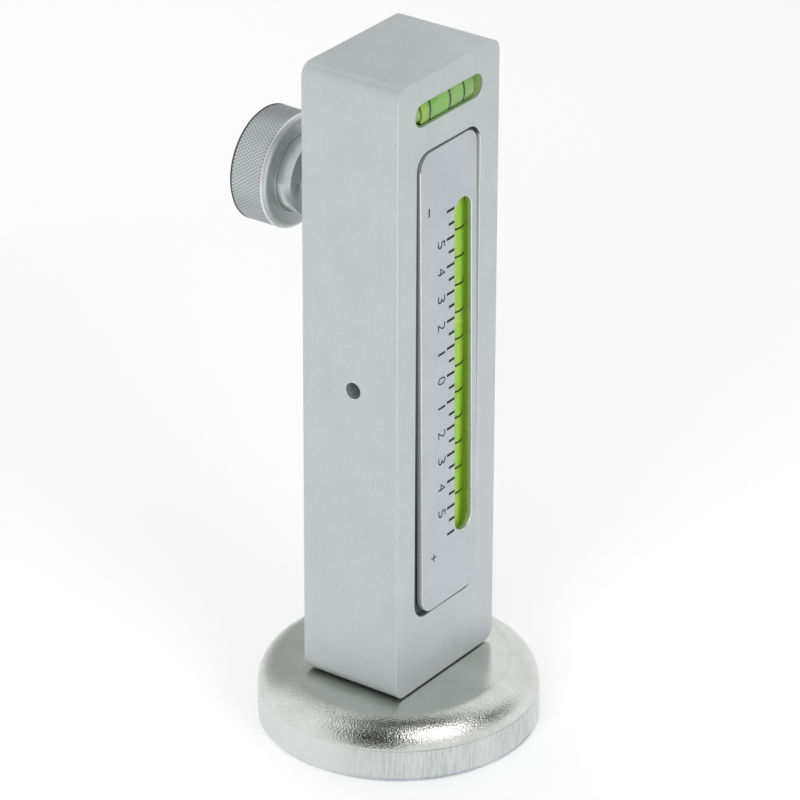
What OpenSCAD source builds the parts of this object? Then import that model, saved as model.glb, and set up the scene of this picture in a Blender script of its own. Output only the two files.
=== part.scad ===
// Camber and caster gauge: an upright block on a pot magnet.
// The front (-Y) holds the camber vial and a small cross level. The back (+Y) holds a
// rocker with the caster vial, which a knurled screw tilts against a spring.
// The origin is the centre of the magnet's resting face. All lengths are in millimetres.

/* [Body] */
// Width of the block, side to side
body_w = 29.2; // [28:0.1:32]
// Depth of the block, front to back
body_d = 19.8; // [19.4:0.1:22]
// Height of the block
body_h = 115.5; // [114.5:0.5:130]
// Rounding of the block's four corners, seen from the front
edge_r = 2.3; // [0.8:0.1:3]
// Facets of a full circle
smooth = 96; // [48:8:160]

/* [Magnet base] */
// Diameter of the steel cup
cup_d = 50; // [44:0.5:60]
// Height of the steel cup
cup_h = 11.4; // [11:0.1:14]
// Rounding of the cup's top edge
cup_round = 5.9; // [3:0.1:6.5]
// Side wall of the cup
cup_wall = 3; // [2:0.1:4]
// Thickness of the cup's top
cup_top = 4; // [3:0.1:4.5]
// Bevel on the cup's resting edge
cup_bevel = 0.4; // [0.2:0.1:0.8]
// Outer diameter of the ring magnet
magnet_d = 39; // [34:0.5:39.5]
// Bore of the ring magnet
magnet_bore = 19; // [17:0.5:22]
// How far the magnet lies above the resting face
magnet_recess = 0.3; // [0.1:0.05:0.6]
// Diameter of the centre pole
pole_d = 14; // [12:0.5:15]
// Diameter of the threaded stud on the pole
stud_d = 6; // [5:0.5:7]
// Length of stud inside the block
stud_reach = 11; // [8:0.5:11.5]
// Thickness of the washer under the block
washer_t = 0.3; // [0.2:0.05:0.6]
// Diameter of the washer under the block
washer_d = 18; // [14:0.5:19]

/* [Pockets] */
// Width of the pocket in the front and in the back
pocket_w = 18.4; // [18.2:0.1:19]
// Height of the pocket in the front and in the back
pocket_h = 88; // [87.5:0.5:92]
// Corner radius of the pockets
pocket_r = 3.2; // [3:0.1:5]

/* [Camber plate] */
// Thickness of the camber plate, flush with the front
plate_t = 1.1; // [0.9:0.05:1.2]
// Mean gap at each side of the plate
plate_side_gap = 1; // [0.8:0.05:1]
// Gap at each end of the plate
plate_end_gap = 0.25; // [0.2:0.05:0.5]
// How far the plate lies off the centre line
plate_shift = 0.45; // [0:0.05:0.45]
// Tilt of the plate in its loose pocket, in degrees
plate_skew = 0.6; // [0:0.1:0.6]
// How far the plate's lower end stands out of the pocket
plate_lift = 0.3; // [0:0.05:0.35]
// Width of the viewing slot
slot_w = 4.9; // [4:0.1:5.2]
// Height of the viewing slot
slot_h = 63.8; // [62.5:0.1:66]
// Distance of the viewing slots from the block's centre line
slot_x = 4.6; // [4.4:0.05:4.8]
// Travel of a bubble for one degree
degree_pitch = 5.15; // [5:0.01:5.2]
// Degrees marked each way from zero on the camber scale
camber_degrees = 6; // [4:1:6]
// Length of a whole-degree mark
tick_long = 2.2; // [1.8:0.1:2.6]
// Length of a half-degree mark
tick_short = 1.65; // [1:0.05:1.75]
// Width of a mark
tick_w = 0.35; // [0.25:0.05:0.5]
// Depth of a mark
tick_depth = 0.12; // [0.08:0.02:0.2]
// Space between a mark and the slot
tick_gap = 0.15; // [0.1:0.05:0.3]

/* [Camber vial] */
// Distance of the camber vial from the block's centre line
camber_x = 5.3; // [5.2:0.05:5.6]
// Outer diameter of the camber vial
camber_d = 7; // [6.4:0.1:7]
// Length of the camber vial
camber_len = 74; // [73.5:0.5:78]
// Wall of the camber vial
camber_wall = 0.9; // [0.7:0.05:1.1]
// Length of each end plug
camber_plug = 3.5; // [2.5:0.1:3.5]
// Diameter of the camber bubble
camber_bubble_d = 3.6; // [2.6:0.1:3.8]
// Length of the camber bubble
camber_bubble_len = 4; // [3.9:0.1:4.4]
// Camber reading at rest, in degrees towards the top
camber_reading = 1.7; // [-4:0.1:4]

/* [Cross level] */
// Length of the level's window
level_window = 19.4; // [19:0.1:22]
// Height of the level's window
level_h = 4.25; // [4.2:0.05:5]
// Depth of the level's seat below the front face
level_seat = 4.15; // [4.15:0.05:6]
// Distance from the level's centre to the top of the block
level_drop = 6.65; // [6:0.05:7]
// Outer diameter of the level vial
level_d = 4; // [3.8:0.05:4.1]
// Length of the level vial's tube
level_len = 15; // [13:0.1:15.1]
// Wall of the level vial
level_wall = 0.55; // [0.4:0.05:0.6]
// Length of each level plug inside the tube
level_plug = 1.5; // [1:0.1:1.8]
// Diameter of the level bubble
level_bubble_d = 1.9; // [1.4:0.05:2]
// Length of the level bubble
level_bubble_len = 4.2; // [3:0.1:4.4]
// Place of the level bubble at rest, off the centre line
level_bubble_x = 2.6; // [-3:0.1:3]

/* [Caster rocker] */
// Greatest tilt of the rocker each way, in degrees
rocker_tilt = 3; // [2:0.1:3.2]
// Length of the rocker
rocker_len = 84; // [82:0.5:84]
// Gap between the rocker and each side of its pocket
rocker_side_gap = 0.3; // [0.2:0.05:0.5]
// How far the caster plate lies below the back face
rocker_recess = 1.6; // [1.4:0.1:1.8]
// Depth from the front face to the floor of the back pocket
floor_depth = 8.75; // [8.6:0.05:8.9]
// Gap between the rocker's middle and the pocket floor
rocker_floor_gap = 0.3; // [0.2:0.05:0.4]
// Diameter of the pivot pin
pin_d = 3; // [2.8:0.1:3]
// Depth from the front face to the pin's centre
pin_depth = 9.2; // [9.1:0.05:9.4]
// Height of the pin above the foot of the block
pin_rise = 58; // [57:0.1:59]
// How deep the pin lies in its side hole
pin_recess = 2.8; // [2:0.1:3.4]
// Width of the pad that holds the pin's inner end
pad_w = 1.8; // [1.2:0.1:2.2]
// Wall of that pad round the pin
pad_wall = 1.2; // [1:0.1:1.4]
// Wall of the pivot lug round the pin
lug_wall = 1.5; // [1.3:0.1:1.6]
// Right edge of the pivot lug, from the centre line
lug_edge = 0.3; // [0:0.1:0.4]

/* [Caster vial] */
// Thickness of the caster plate
caster_plate_t = 1; // [0.8:0.1:1.2]
// Width of the caster plate
caster_plate_w = 15.4; // [14:0.1:17]
// Height of the caster plate
caster_plate_h = 64; // [62:0.5:65]
// Degrees marked each way from zero on the caster scale
caster_degrees = 5; // [3:1:5]
// Distance from the pivot down to the caster scale's zero
caster_drop = 9.7; // [9.2:0.1:10.5]
// Width of the caster slot
caster_slot_w = 4.2; // [3.6:0.1:4.6]
// Height of the caster slot
caster_slot_h = 53.8; // [52:0.1:56]
// Outer diameter of the caster vial
caster_d = 5; // [4.6:0.1:5]
// Length of the caster vial
caster_len = 60; // [59:0.5:61]
// Wall of the caster vial
caster_wall = 0.7; // [0.6:0.05:0.8]
// Length of each caster end plug
caster_plug = 3; // [2:0.1:3.2]
// Diameter of the caster bubble
caster_bubble_d = 2.3; // [1.8:0.1:2.4]
// Length of the caster bubble
caster_bubble_len = 3.8; // [3.2:0.1:4.2]

/* [Adjusting screw] */
// Diameter of the knurled knob
knob_d = 20.5; // [18:0.5:22]
// Thickness of the knurled disc
knob_t = 7.6; // [6:0.1:9]
// Rounding of the disc's inner edge
knob_round = 1; // [0.5:0.1:1.5]
// Bevel of the disc's outer edge
knob_bevel = 0.35; // [0.2:0.05:0.8]
// Diameter of the boss on the knob
boss_d = 14; // [12:0.5:15]
// Length of the boss on the knob
boss_len = 3.1; // [3:0.1:4]
// Gap between the boss and the back of the block
knob_gap = 7.6; // [6:0.1:9]
// Diameter of the knob's neck
neck_d = 8.4; // [8:0.1:9]
// Distance of the screw from the centre line
screw_x = -0.7; // [-1:0.1:-0.5]
// Distance from the pivot up to the screw
screw_arm = 30.1; // [29.5:0.1:31]
// Diameter of the adjusting screw
screw_d = 4; // [3:0.1:4]
// Length of screw inside the knob, from the boss
screw_grip = 7.5; // [5:0.5:8]
// Radius of the crown under the thrust washer
crown_r = 6; // [4:0.5:8]
// Height of the crown above the rocker
crown_h = 1; // [0.6:0.1:1.2]
// Thickness of the thrust washer
thrust_t = 0.6; // [0.4:0.1:0.8]
// Diameter of the thrust washer
thrust_d = 8; // [7:0.1:8.4]
// Wire thickness of the return spring, as its sleeve's wall
spring_wall = 0.9; // [0.6:0.1:1]
// Depth of the spring's seat in the rocker
spring_seat = 3; // [2.5:0.1:3.2]
// Diameter of the knob's grub screw
grub_d = 2.5; // [2:0.1:2.6]

/* [Clearances] */
// Radial gap of a screw, a stud or a vial in its seat
fit_gap = 0.05; // [0.03:0.01:0.08]
// Radial gap of the pin in the block
press_gap = 0.02; // [0.01:0.01:0.04]
// Gap round a bubble in its track
track_gap = 0.1; // [0.08:0.01:0.15]
// Gap between a vial's liquid and its wall
liquid_gap = 0.03; // [0.02:0.01:0.05]
// Clear space beyond the end of a moving piece's travel
end_room = 0.3; // [0.2:0.05:0.5]

/* [Hidden] */

$fn = smooth;
cut = 1;

// Heights and depths that several pieces share
foot_z = cup_h + washer_t;
mid_z = foot_z + body_h / 2;
front_y = -body_d / 2;
back_y = body_d / 2;
seat_y = front_y + plate_t;
floor_y = front_y + floor_depth;
pin_y = front_y + pin_depth;
pin_z = foot_z + pin_rise;

// Camber vial
camber_r = camber_d / 2;
camber_y = seat_y + camber_r + fit_gap;
camber_bore = camber_r - camber_wall;
camber_bubble_lift = camber_bore - camber_bubble_d / 2 - track_gap;
camber_bubble_z = mid_z + camber_reading * degree_pitch;

// Cross level
level_z = foot_z + body_h - level_drop;
level_r = level_d / 2;
level_y = front_y + level_seat - level_r - fit_gap;
level_bore = level_r - level_wall;
level_bubble_lift = level_bore - level_bubble_d / 2 - track_gap;

// Rocker
rocker_w = pocket_w - 2 * rocker_side_gap;
rocker_face_y = back_y - rocker_recess - caster_plate_t;
rocker_front_y = floor_y + rocker_floor_gap;
relief = tan(rocker_tilt) * rocker_len / 2 + end_room;
rocker_r = pocket_r - rocker_side_gap;
lug_r = pin_d / 2 + lug_wall;
lug_room = lug_r + rocker_side_gap + 0.1;
pad_x = lug_edge + rocker_side_gap;
pad_r = pin_d / 2 + pad_wall;
pin_end_x = pad_x + pad_w;

// Caster vial, on the opposite side of the centre line from the camber vial
caster_x = -slot_x;
caster_z = pin_z - caster_drop;
caster_r = caster_d / 2;
caster_y = rocker_face_y - caster_r - fit_gap;
caster_bore = caster_r - caster_wall;
caster_bubble_lift = caster_bore - caster_bubble_d / 2 - track_gap;

// Screw
screw_z = pin_z + screw_arm;
screw_r = screw_d / 2;
screw_travel = screw_arm * tan(rocker_tilt);
crown_y = rocker_face_y + crown_h;
neck_y = crown_y + thrust_t + press_gap;
boss_y = back_y + knob_gap;
disc_y = boss_y + boss_len;
screw_tip_y = seat_y + screw_travel + end_room;
spring_in = screw_r + 0.5;
spring_out = spring_in + spring_wall;
spring_seat_y = rocker_front_y + relief * screw_arm / (rocker_len / 2) + spring_seat;
grub_y = boss_y + boss_len / 2;

// Base
cavity_h = cup_h - cup_top;
cup_r = cup_d / 2;
stud_r = stud_d / 2;
pole_r = pole_d / 2;

// ---- shapes that repeat ----

// A round bar along X from x0 to x1
module bar_x(x0, x1, r) {
    translate([x0, 0, 0]) rotate([0, 90, 0]) cylinder(h = x1 - x0, r = r);
}

// A flat shape drawn in X and Z, as a slab from y0 to y1
module slab(y0, y1) {
    translate([0, y1, 0]) rotate([90, 0, 0]) linear_extrude(height = y1 - y0) children();
}

module round_rect(w, h, r) {
    square([w - 2 * r, h], center = true);
    square([w, h - 2 * r], center = true);
    for (x = [-1, 1], y = [-1, 1]) {
        translate([x * (w / 2 - r), y * (h / 2 - r)]) circle(r);
    }
}

// A slot of full length len along Y, or along X when wide is true
module slot(w, len, wide = false) {
    turn = wide ? 90 : 0;
    rotate(turn) {
        square([w, len - w], center = true);
        for (s = [-1, 1]) translate([0, s * (len - w) / 2]) circle(w / 2);
    }
}

module rod_y(y0, y1, r) {
    translate([0, y0, 0]) rotate([-90, 0, 0]) cylinder(h = y1 - y0, r = r);
}

module rod_z(len, r) {
    cylinder(h = len, r = r, center = true);
}

module tube_z(len, r, bore) {
    difference() {
        rod_z(len, r);
        rod_z(len + 2 * cut, bore);
    }
}

// A bubble: a round bar with ball ends, along Z
module capsule(len, d) {
    rod_z(len - d, d / 2);
    for (s = [-1, 1]) translate([0, 0, s * (len - d) / 2]) sphere(d = d);
}

// The liquid in a vial, along Z, with its bubble's track along the side that faces up in use
module liquid(len, bore, bubble_d, lift) {
    track_r = bubble_d / 2 + track_gap;
    difference() {
        rod_z(len, bore - liquid_gap);
        translate([0, -lift, 0]) rod_z(len + 2 * cut, track_r);
        translate([-track_r * 0.8, -bore - cut, -len / 2 - cut]) {
            cube([track_r * 1.6, bore + cut - lift, len + 2 * cut]);
        }
    }
}

module end_plugs(len, plug, r) {
    for (s = [-1, 1]) translate([0, 0, s * (len - plug) / 2]) rod_z(plug, r);
}

// Marks every half degree, long on the whole degrees, ending at x = 0
module scale_marks(degrees, depth) {
    for (i = [-2 * degrees : 2 * degrees]) {
        len = i % 2 == 0 ? tick_long : tick_short;
        translate([-len, -depth, i * degree_pitch / 2 - tick_w / 2]) cube([len, 2 * depth, tick_w]);
    }
}

// ---- block ----

module body() {
    color("#C9CED0") difference() {
        union() {
            difference() {
                slab(front_y, back_y) translate([0, mid_z]) round_rect(body_w, body_h, edge_r);
                rocker_seat();
            }
            pivot_pad();
        }
        camber_seat();
        level_seat();
        pivot_hole();
        screw_hole();
        stud_hole();
    }
}

module camber_seat() {
    slab(front_y - cut, seat_y) translate([0, mid_z]) round_rect(pocket_w, pocket_h, pocket_r);
    seat_r = camber_r + fit_gap;
    seat_len = camber_len + 2 * plate_end_gap;
    translate([camber_x, camber_y, mid_z]) {
        rod_z(seat_len, seat_r);
        translate([-seat_r, seat_y - camber_y - cut, -seat_len / 2]) {
            cube([2 * seat_r, camber_y - seat_y + cut, seat_len]);
        }
    }
}

module level_seat() {
    slab(front_y - cut, front_y + level_seat) {
        translate([0, level_z]) slot(level_h, level_window, true);
    }
}

module rocker_seat() {
    slab(floor_y, back_y + cut) translate([0, mid_z]) round_rect(pocket_w, pocket_h, pocket_r);
    // Room for the lug, left of the camber vial
    translate([0, pin_y, pin_z]) bar_x(-pocket_w / 2, pad_x, lug_room);
}

// Holds the pin's inner end, on the other side of the lug from the block's wall
module pivot_pad() {
    translate([0, pin_y, pin_z]) bar_x(pad_x, pin_end_x, pad_r);
}

module pivot_hole() {
    translate([0, pin_y, pin_z]) bar_x(-body_w / 2 - cut, pin_end_x, pin_d / 2 + press_gap);
}

module screw_hole() {
    translate([screw_x, 0, screw_z]) rod_y(seat_y - cut, floor_y + cut, screw_r + fit_gap);
}

module stud_hole() {
    hole_len = stud_reach + end_room;
    translate([0, 0, foot_z - cut]) cylinder(h = hole_len + cut, r = stud_r + fit_gap);
}

// ---- camber scale and vial ----

// Turns the plate about its top edge, so that its lower end stands out of the pocket
module plate_place() {
    lean = atan(plate_lift / pocket_h);
    top_z = pocket_h / 2 - 0.1;
    translate([plate_shift, seat_y, mid_z + top_z]) rotate([-lean, 0, 0]) {
        translate([0, -seat_y, -top_z]) rotate([0, -plate_skew, 0]) children();
    }
}

module scale_plate() {
    plate_w = pocket_w - 2 * plate_side_gap;
    plate_h = pocket_h - 2 * plate_end_gap;
    plate_r = pocket_r - plate_end_gap;
    slot_off = slot_x - plate_shift;
    color("#C6CBCE") plate_place() difference() {
        slab(front_y, seat_y) round_rect(plate_w, plate_h, plate_r);
        slab(front_y - cut, seat_y + cut) translate([slot_off, 0]) slot(slot_w, slot_h);
        translate([slot_off - slot_w / 2 - tick_gap, front_y, 0]) {
            scale_marks(camber_degrees, tick_depth);
        }
    }
}

module camber_vial() {
    color("#B9D98A") translate([camber_x, camber_y, mid_z]) {
        tube_z(camber_len, camber_r, camber_bore);
    }
}

module camber_liquid() {
    liquid_len = camber_len - 2 * camber_plug;
    color("#8FC92E") translate([camber_x, camber_y, mid_z]) {
        liquid(liquid_len, camber_bore, camber_bubble_d, camber_bubble_lift);
    }
}

module camber_bubble() {
    color("#E8F5C8") translate([camber_x, camber_y - camber_bubble_lift, camber_bubble_z]) {
        capsule(camber_bubble_len, camber_bubble_d);
    }
}

module camber_plugs() {
    color("#5E7F1E") translate([camber_x, camber_y, mid_z]) {
        end_plugs(camber_len, camber_plug, camber_bore - liquid_gap);
    }
}

// ---- cross level, its vial along X ----

module along_x() {
    translate([0, level_y, level_z]) rotate([0, 90, 0]) children();
}

module level_vial() {
    color("#A9CF86") along_x() tube_z(level_len, level_r, level_bore);
}

module level_liquid() {
    liquid_len = level_len - 2 * level_plug;
    color("#7DB84A") along_x() {
        liquid(liquid_len, level_bore, level_bubble_d, level_bubble_lift);
    }
}

module level_bubble() {
    color("#D5EBB0") translate([level_bubble_x, -level_bubble_lift, 0]) along_x() {
        capsule(level_bubble_len, level_bubble_d);
    }
}

// Plugs with a round cap that closes the tube's end
module level_plugs() {
    cap_r = level_r - fit_gap;
    color("#C9DD9A") along_x() for (s = [-1, 1]) {
        translate([0, 0, s * (level_len - level_plug) / 2]) {
            rod_z(level_plug, level_bore - liquid_gap);
        }
        translate([0, 0, s * level_len / 2]) intersection() {
            sphere(r = cap_r);
            translate([0, 0, s * cap_r]) cube(2 * cap_r, center = true);
        }
    }
}

// ---- caster rocker ----

module caster_rocker() {
    color("#B9BEC1") difference() {
        union() {
            rocker_bar();
            rocker_lug();
            rocker_crown();
        }
        // Pivot bore, and room for the block's pad
        translate([0, pin_y, pin_z]) {
            bar_x(-rocker_w / 2 - cut, lug_edge + cut, pin_d / 2 + fit_gap);
            bar_x(lug_edge, pin_end_x + rocker_side_gap, pad_r + rocker_side_gap);
        }
        // Slot that the screw passes through, and the spring's seat
        slab(floor_y - cut, back_y) {
            translate([screw_x, screw_z]) slot(screw_d + 0.6, screw_d + 1.6);
        }
        translate([screw_x, 0, screw_z]) rod_y(floor_y - cut, spring_seat_y, spring_out + 0.5);
        caster_seat();
    }
}

// A bar whose inner side falls away from the pivot to both ends
module rocker_bar() {
    half = rocker_len / 2;
    intersection() {
        slab(floor_y, back_y) translate([0, pin_z]) round_rect(rocker_w, rocker_len, rocker_r);
        translate([-rocker_w / 2 - cut, 0, pin_z]) rotate([90, 0, 90]) {
            linear_extrude(height = rocker_w + 2 * cut) polygon([
                [rocker_front_y, 0],
                [rocker_front_y + relief, half],
                [rocker_face_y, half],
                [rocker_face_y, -half],
                [rocker_front_y + relief, -half]
            ]);
        }
    }
}

module rocker_lug() {
    translate([0, pin_y, pin_z]) bar_x(-rocker_w / 2, lug_edge, lug_r);
}

// The ridge that the thrust washer bears on
module rocker_crown() {
    ridge = thrust_d / 2;
    intersection() {
        translate([screw_x, crown_y - crown_r, screw_z]) bar_x(-ridge, ridge, crown_r);
        translate([screw_x - thrust_d, rocker_face_y - crown_h, screw_z - crown_r]) {
            cube([2 * thrust_d, 3 * crown_h, 2 * crown_r]);
        }
    }
}

module caster_seat() {
    seat_r = caster_r + fit_gap;
    seat_len = caster_len + 2 * plate_end_gap;
    translate([caster_x, caster_y, caster_z]) {
        rod_z(seat_len, seat_r);
        translate([-seat_r, 0, -seat_len / 2]) {
            cube([2 * seat_r, rocker_face_y - caster_y + cut, seat_len]);
        }
    }
}

module caster_plate() {
    color("#C6CBCE") translate([0, 0, caster_z]) difference() {
        slab(rocker_face_y, rocker_face_y + caster_plate_t) {
            round_rect(caster_plate_w, caster_plate_h, rocker_r);
        }
        slab(rocker_face_y - cut, back_y) {
            translate([caster_x, 0]) slot(caster_slot_w, caster_slot_h);
        }
        translate([caster_x + caster_slot_w / 2 + tick_gap, rocker_face_y + caster_plate_t, 0]) {
            mirror([1, 0, 0]) scale_marks(caster_degrees, tick_depth);
        }
    }
}

// The caster pieces face the back, so their tracks are turned round
module caster_place() {
    translate([caster_x, caster_y, caster_z]) rotate([0, 0, 180]) children();
}

module caster_vial() {
    color("#B9D98A") caster_place() tube_z(caster_len, caster_r, caster_bore);
}

module caster_liquid() {
    liquid_len = caster_len - 2 * caster_plug;
    color("#8FC92E") caster_place() {
        liquid(liquid_len, caster_bore, caster_bubble_d, caster_bubble_lift);
    }
}

module caster_bubble() {
    color("#E8F5C8") caster_place() translate([0, -caster_bubble_lift, 0]) {
        capsule(caster_bubble_len, caster_bubble_d);
    }
}

module caster_plugs() {
    color("#5E7F1E") caster_place() {
        end_plugs(caster_len, caster_plug, caster_bore - liquid_gap);
    }
}

module pivot_pin() {
    color("#8E9496") translate([0, pin_y, pin_z]) {
        bar_x(-body_w / 2 + pin_recess, pin_end_x, pin_d / 2);
    }
}

// ---- knob and screw, turned about Y ----

module screw_place() {
    translate([screw_x, 0, screw_z]) rotate([-90, 0, 0]) children();
}

module adjusting_knob() {
    knob_r = knob_d / 2;
    color("#A9AEB1") difference() {
        screw_place() rotate_extrude() difference() {
            union() {
                // Disc with a rounded inner edge
                translate([0, disc_y]) {
                    square([knob_r - knob_round, knob_t]);
                    translate([0, knob_round]) square([knob_r, knob_t - knob_round]);
                    translate([knob_r - knob_round, knob_round]) circle(knob_round);
                }
                translate([0, boss_y]) square([boss_d / 2, boss_len + cut]);
                translate([0, neck_y]) square([neck_d / 2, boss_y - neck_y + cut]);
            }
            translate([knob_r, disc_y + knob_t]) rotate(45) square(knob_bevel * sqrt(2), center = true);
            translate([0, neck_y - cut]) {
                square([screw_r + press_gap, cut + screw_grip + boss_y - neck_y]);
            }
        }
        translate([screw_x, grub_y, screw_z]) rotate([0, 90, 0]) {
            cylinder(h = knob_r, r = grub_d / 2 + press_gap);
        }
    }
}

module adjusting_screw() {
    screw_end_y = boss_y + screw_grip - press_gap;
    color("#9FA4A6") translate([screw_x, 0, screw_z]) rod_y(screw_tip_y, screw_end_y, screw_r);
}

module knob_grub_screw() {
    inner = screw_r + press_gap;
    outer = boss_d / 2 - grub_d / 5;
    color("#4A4D50") translate([screw_x, grub_y, screw_z]) rotate([0, 90, 0]) difference() {
        translate([0, 0, inner]) cylinder(h = outer - inner, r = grub_d / 2);
        translate([0, 0, outer - grub_d / 2]) cylinder(h = grub_d, r = grub_d / 3.6, $fn = 6);
    }
}

module thrust_washer() {
    color("#C8A24A") translate([screw_x, 0, screw_z]) difference() {
        rod_y(crown_y + press_gap / 2, neck_y - press_gap / 2, thrust_d / 2);
        rod_y(crown_y - cut, neck_y + cut, screw_r + fit_gap);
    }
}

// The coil spring as the sleeve that it fills
module return_spring() {
    color("#9A9FA3") translate([screw_x, 0, screw_z]) difference() {
        rod_y(floor_y, spring_seat_y, spring_out);
        rod_y(floor_y - cut, spring_seat_y + cut, spring_in);
    }
}

// ---- magnet base ----

module base_washer() {
    color("#3A3D3F") translate([0, 0, cup_h]) difference() {
        cylinder(h = washer_t, r = washer_d / 2);
        translate([0, 0, -cut]) cylinder(h = washer_t + 2 * cut, r = stud_r + fit_gap);
    }
}

module magnet_cup() {
    color("#B7BBBC") rotate_extrude() difference() {
        union() {
            square([cup_r, cup_h - cup_round]);
            square([cup_r - cup_round, cup_h]);
            translate([cup_r - cup_round, cup_h - cup_round]) intersection() {
                circle(cup_round);
                square(cup_round);
            }
        }
        translate([0, -cut]) square([cup_r - cup_wall, cavity_h + cut]);
        square([stud_r + fit_gap, cup_h + cut]);
        translate([cup_r, 0]) rotate(45) square(cup_bevel * sqrt(2), center = true);
    }
}

module ring_magnet() {
    color("#4E5255") translate([0, 0, magnet_recess]) difference() {
        cylinder(h = cavity_h - magnet_recess, r = magnet_d / 2);
        translate([0, 0, -cut]) cylinder(h = cavity_h + 2 * cut, r = magnet_bore / 2);
    }
}

// Two rings that hold the magnet between the cup's wall and the pole
module magnet_potting() {
    rings = [[magnet_d / 2 + fit_gap, cup_r - cup_wall - fit_gap],
             [pole_r + fit_gap, magnet_bore / 2 - fit_gap]];
    color("#202326") translate([0, 0, magnet_recess]) for (ring = rings) difference() {
        cylinder(h = cavity_h - magnet_recess, r = ring[1]);
        translate([0, 0, -cut]) cylinder(h = cavity_h + 2 * cut, r = ring[0]);
    }
}

module stud_pole() {
    color("#A5A9AB") {
        cylinder(h = cavity_h, r = pole_r);
        cylinder(h = foot_z + stud_reach, r = stud_r);
    }
}

body();
scale_plate();
camber_vial();
camber_liquid();
camber_bubble();
camber_plugs();
level_vial();
level_liquid();
level_bubble();
level_plugs();
caster_rocker();
caster_plate();
caster_vial();
caster_liquid();
caster_bubble();
caster_plugs();
pivot_pin();
adjusting_knob();
adjusting_screw();
knob_grub_screw();
thrust_washer();
return_spring();
base_washer();
magnet_cup();
ring_magnet();
magnet_potting();
stud_pole();
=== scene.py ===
# Camber and caster gauge: looks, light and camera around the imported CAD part.
import math

import bmesh
import bpy
from mathutils import Matrix, Vector


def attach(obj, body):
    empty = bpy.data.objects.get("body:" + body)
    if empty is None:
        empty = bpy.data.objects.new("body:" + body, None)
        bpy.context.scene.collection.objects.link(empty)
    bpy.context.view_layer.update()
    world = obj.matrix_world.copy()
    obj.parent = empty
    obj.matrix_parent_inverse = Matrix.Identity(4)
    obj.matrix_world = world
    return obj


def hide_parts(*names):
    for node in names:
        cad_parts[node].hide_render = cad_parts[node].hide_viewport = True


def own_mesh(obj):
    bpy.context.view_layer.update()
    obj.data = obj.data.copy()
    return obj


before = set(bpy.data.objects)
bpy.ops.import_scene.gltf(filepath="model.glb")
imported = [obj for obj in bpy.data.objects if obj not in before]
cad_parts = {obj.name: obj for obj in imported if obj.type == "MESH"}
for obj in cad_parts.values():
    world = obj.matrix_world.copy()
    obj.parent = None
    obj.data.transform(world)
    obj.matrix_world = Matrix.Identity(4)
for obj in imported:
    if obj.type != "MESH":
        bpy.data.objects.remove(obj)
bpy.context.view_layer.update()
mm = 0.001               # sizes below are in millimetres
touching = 0.0005        # points nearer than this, in mm, are one
screwX, screwZ = -0.7, 99.8
screwLine, screwAxis = (screwX, 0, screwZ), (0, 1, 0)        # the knob, its screw and its spring lie about it
print("frame loaded")


# ---- mesh helpers: every mesh is drawn in mm and brought to metres in makePiece ----

def newObject(name, bm, materials):
    mesh = bpy.data.meshes.new(name)
    bm.to_mesh(mesh)
    bm.free()
    for material in materials:
        mesh.materials.append(material)
    made = bpy.data.objects.new(name, mesh)
    bpy.context.scene.collection.objects.link(made)
    return made


def makePiece(name, bm, body, materials, replaces=(), smoothTo=30, outward=True):
    if outward:
        bmesh.ops.remove_doubles(bm, verts=bm.verts, dist=touching)
        bmesh.ops.recalc_face_normals(bm, faces=bm.faces)
    bmesh.ops.scale(bm, vec=(mm, mm, mm), verts=bm.verts)
    piece = newObject(name, bm, materials)
    for face in piece.data.polygons:
        face.use_smooth = True
    if smoothTo:                     # 0 keeps the sharp edges that softenEdges set
        piece.data.set_sharp_from_angle(angle=math.radians(smoothTo))
    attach(piece, body)
    if replaces:
        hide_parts(*replaces)
    return piece


def nodeCopy(node):      # a CAD node's mesh, merged, its flat sides whole again
    bm = bmesh.new()
    bm.from_mesh(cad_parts[node].data)
    bmesh.ops.scale(bm, vec=(1 / mm, 1 / mm, 1 / mm), verts=bm.verts)
    bmesh.ops.remove_doubles(bm, verts=bm.verts, dist=0.002)
    bmesh.ops.dissolve_limit(bm, angle_limit=math.radians(0.4), verts=bm.verts, edges=bm.edges)
    return bm


def placed(bm, place):
    bmesh.ops.transform(bm, matrix=place, verts=bm.verts)
    return bm


def liesAt(edge, axis, value):       # both ends of the edge have this X, Y or Z
    return all(abs(v.co[axis] - value) < 0.01 for v in edge.verts)


def softenEdges(bm, wanted, width, edgeSkin=None):       # edgeSkin: material index of the rounded edges, by place; it gives wear with a painted highlight, and painted shade
    corner, flat = math.radians(35), math.radians(12)
    edges = [e for e in bm.edges if len(e.link_faces) == 2 and e.calc_face_angle(0) > corner
             and wanted((e.verts[0].co + e.verts[1].co) / 2, e)]
    made = bmesh.ops.bevel(bm, geom=edges, offset=width, offset_type="OFFSET", segments=2, profile=0.5,
                           affect="EDGES", material=-1, clamp_overlap=True)
    rounded = set(made["faces"])
    if edgeSkin:
        for face in rounded:
            face.material_index = edgeSkin(face.calc_center_median())
    for edge in bm.edges:            # a rounded edge shades softly, the flats beside it stay flat
        if len(edge.link_faces) == 2:
            sides = [face in rounded for face in edge.link_faces]
            edge.smooth = all(sides) or (not any(sides) and edge.calc_face_angle(0) < flat)


def drawLine(bm, points):            # a chain of edges through points
    verts = [bm.verts.new(p) for p in points]
    edges = [bm.edges.new(pair) for pair in zip(verts, verts[1:])]
    return verts + edges


def spinRound(bm, points, axis=(0, 0, 1), centre=(0, 0, 0), steps=96):
    bmesh.ops.spin(bm, geom=drawLine(bm, points), cent=centre, axis=axis, angle=2 * math.pi,
                   steps=steps, use_merge=True)
    bmesh.ops.remove_doubles(bm, verts=bm.verts, dist=touching)


def arcPoints(centreA, centreB, radius, start, end, count):
    return [(centreA + radius * math.cos(math.radians(start + (end - start) * i / count)),
             centreB + radius * math.sin(math.radians(start + (end - start) * i / count)))
            for i in range(count + 1)]


# ---- shader helpers ----

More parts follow.
